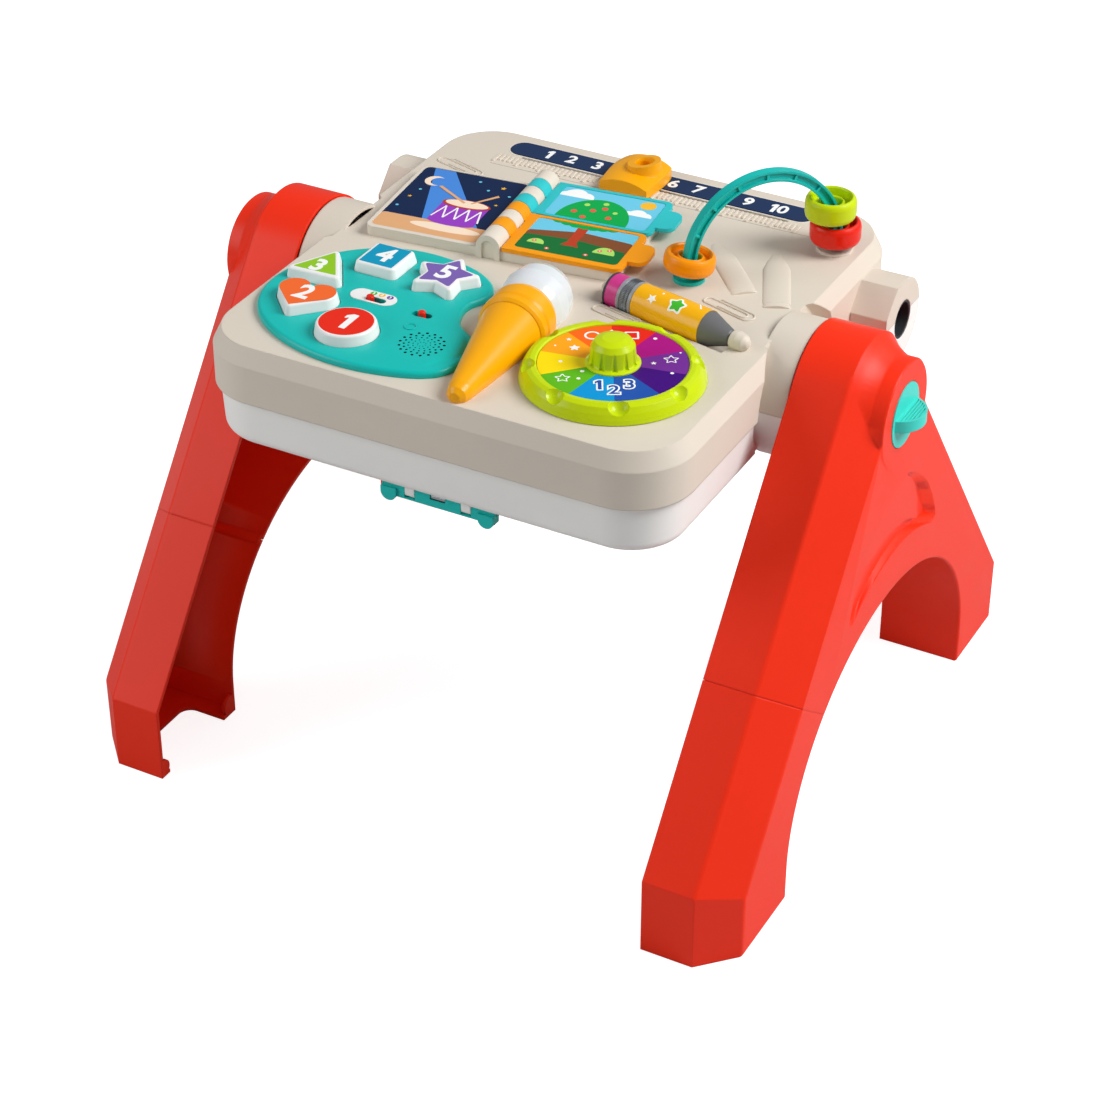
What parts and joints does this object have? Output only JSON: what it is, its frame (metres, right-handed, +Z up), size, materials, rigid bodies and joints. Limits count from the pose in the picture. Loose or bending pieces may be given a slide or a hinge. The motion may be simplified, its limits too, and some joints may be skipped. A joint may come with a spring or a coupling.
{
  "type": "musical activity table",
  "caption": "Toddler play table: turn-over desk top between two A-frame legs, with shape buttons, microphone, spinner, pencil roller, book, slider, bead arch.",
  "frame": {"origin": "floor level, midway between the four feet", "axes": "+X to the right as the child faces the table, +Y away from the child, +Z up; the child's side is -Y"},
  "size_m": [0.6078, 0.562, 0.4675],
  "materials": {
    "leg_red": "smooth red moulded plastic",
    "shell_beige": "fine satin moulded plastic",
    "shell_white": "fine satin moulded plastic",
    "teal": "smooth teal moulded plastic",
    "aqua": "smooth light teal moulded plastic",
    "lime": "smooth lime moulded plastic",
    "orange": "smooth orange moulded plastic",
    "red": "smooth red moulded plastic",
    "button_white": "white caps with printed coloured labels",
    "print_disc": "printed ten-colour disc",
    "bulb": "milky translucent",
    "led": "clear lens on a small white board",
    "navy": "printed strip",
    "pencil_pink": "smooth plastic",
    "pencil_silver": "ringed grey plastic",
    "pencil_amber": "smooth plastic",
    "pencil_grey": "smooth plastic",
    "book_cream": "printed pages on satin plastic",
    "page_orange": "printed leaf",
    "page_teal": "printed leaf",
    "dark_grey": "fine matt",
    "steel": "plated steel",
    "cell": "plain wrapped cell",
    "pad_rubber": "soft matt",
    "board_green": "solder-resist green",
    "speaker_black": "matt"
  },
  "bodies": {
    "side_frames": {"right_leg_frame": "leg_red", "left_leg_frame": "leg_red", "right_front_leg": "leg_red", "left_front_leg": "leg_red"},
    "tabletop": {"batteries": "cell", "battery_box": "dark_grey", "battery_contacts": "steel", "battery_door": "shell_white", "battery_door_screw": "steel", "bead_arch": "teal", "book_base": "book_cream", "book_pin": "steel", "bottom_shell": "shell_white", "circuit_board": "board_green", "clamp_pin": "steel", "clamp_spring": "steel", "key_pad": "pad_rubber", "left_ear_socket": "dark_grey", "left_hub_spindle": "shell_white", "mic_bulb": "bulb", "mic_handle": "orange", "mic_led": "led", "mode_switch_plate": "button_white", "palette_plate": "teal", "pencil_axle": "steel", "right_ear_socket": "dark_grey", "right_hub_spindle": "shell_white", "ruler_strip": "navy", "shell_screws": "steel", "small_screws": "steel", "speaker": "speaker_black", "spinner_screw": "steel", "top_shell": "shell_beige"},
    "right_lock_knob": {"right_lock_knob": "aqua"},
    "left_lock_knob": {"left_lock_knob": "aqua"},
    "button_1_circle": {"button_1_circle": "button_white"},
    "button_2_heart": {"button_2_heart": "button_white"},
    "button_3_triangle": {"button_3_triangle": "button_white"},
    "button_4_square": {"button_4_square": "button_white"},
    "button_5_star": {"button_5_star": "button_white"},
    "mode_switch": {"mode_switch_knob": "red"},
    "power_switch": {"power_switch_knob": "red"},
    "spinner": {"spinner_wheel": "lime", "spinner_disc": "print_disc", "spinner_knob": "lime"},
    "pencil_roller": {"pencil_eraser": "pencil_pink", "pencil_ferrule": "pencil_silver", "pencil_barrel": "pencil_amber", "pencil_tip": "pencil_grey"},
    "orange_page": {"orange_page": "page_orange"},
    "teal_page": {"teal_page": "page_teal"},
    "ruler_slider": {"ruler_slider": "orange", "slider_keeper": "orange"},
    "bead_orange": {"bead_orange": "orange"},
    "bead_lime": {"bead_lime": "lime"},
    "bead_red": {"bead_red": "red"},
    "paper_clamp": {"paper_clamp": "teal"}
  },
  "joints": [
    {"name": "tabletop_flip", "type": "hinge", "parent": "side_frames", "child": "tabletop", "pos_m": [0, 0, 0.338], "axis": [1, 0, 0], "range_deg": [0, 180]},
    {"name": "right_lock_turn", "type": "hinge", "parent": "side_frames", "child": "right_lock_knob", "pos_m": [0.287, 0, 0.338], "axis": [1, 0, 0], "range_deg": [0, 90]},
    {"name": "left_lock_turn", "type": "hinge", "parent": "side_frames", "child": "left_lock_knob", "pos_m": [-0.287, 0, 0.338], "axis": [-1, 0, 0], "range_deg": [0, 90]},
    {"name": "button_1_circle_press", "type": "slide", "parent": "tabletop", "child": "button_1_circle", "axis": [0, 0, -1], "range_m": [0, 0.003], "stiffness_N_per_m": 250, "springref_m": -0.002},
    {"name": "button_2_heart_press", "type": "slide", "parent": "tabletop", "child": "button_2_heart", "axis": [0, 0, -1], "range_m": [0, 0.003], "stiffness_N_per_m": 250, "springref_m": -0.002},
    {"name": "button_3_triangle_press", "type": "slide", "parent": "tabletop", "child": "button_3_triangle", "axis": [0, 0, -1], "range_m": [0, 0.003], "stiffness_N_per_m": 250, "springref_m": -0.002},
    {"name": "button_4_square_press", "type": "slide", "parent": "tabletop", "child": "button_4_square", "axis": [0, 0, -1], "range_m": [0, 0.003], "stiffness_N_per_m": 250, "springref_m": -0.002},
    {"name": "button_5_star_press", "type": "slide", "parent": "tabletop", "child": "button_5_star", "axis": [0, 0, -1], "range_m": [0, 0.003], "stiffness_N_per_m": 250, "springref_m": -0.002},
    {"name": "mode_switch_slide", "type": "slide", "parent": "tabletop", "child": "mode_switch", "axis": [1, 0, 0], "range_m": [0, 0.01]},
    {"name": "power_switch_slide", "type": "slide", "parent": "tabletop", "child": "power_switch", "axis": [1, 0, 0], "range_m": [-0.005, 0.005]},
    {"name": "spinner_spin", "type": "hinge", "parent": "tabletop", "child": "spinner", "pos_m": [0.1096, -0.13, 0.395], "axis": [0, 0, 1], "continuous": true},
    {"name": "pencil_roll", "type": "hinge", "parent": "tabletop", "child": "pencil_roller", "pos_m": [0.108, -0.032, 0.392], "axis": [0.9759, -0.2181, 0], "continuous": true},
    {"name": "orange_page_turn", "type": "hinge", "parent": "tabletop", "child": "orange_page", "pos_m": [-0.067, 0.05, 0.3975], "axis": [0.1063, -0.9943, 0], "range_deg": [0, 180]},
    {"name": "teal_page_turn", "type": "hinge", "parent": "tabletop", "child": "teal_page", "pos_m": [-0.067, 0.05, 0.3975], "axis": [0.1063, -0.9943, 0], "range_deg": [0, 180]},
    {"name": "ruler_slide", "type": "slide", "parent": "tabletop", "child": "ruler_slider", "axis": [1, 0, 0], "range_m": [-0.092, 0.122]},
    {"name": "red_bead_travel", "type": "hinge", "parent": "tabletop", "child": "bead_red", "pos_m": [0.1315, 0.0805, 0.4], "axis": [0.7815, -0.6239, 0], "range_deg": [0, 118]},
    {"name": "lime_bead_travel", "type": "hinge", "parent": "tabletop", "child": "bead_lime", "pos_m": [0.1315, 0.0805, 0.4], "axis": [0.7815, -0.6239, 0], "range_deg": [0, 118]},
    {"name": "orange_bead_travel", "type": "hinge", "parent": "tabletop", "child": "bead_orange", "pos_m": [0.1315, 0.0805, 0.4], "axis": [0.7815, -0.6239, 0], "range_deg": [-118, 0]},
    {"name": "clamp_open", "type": "hinge", "parent": "tabletop", "child": "paper_clamp", "pos_m": [0.013, -0.209, 0.2968], "axis": [-1, 0, 0], "range_deg": [0, 18], "stiffness_Nm_per_rad": 0.05, "springref_deg": -17.19}
  ],
  "couplings": [
    {"joint": "lime_bead_travel", "follows": "red_bead_travel", "ratio": 1}
  ]
}
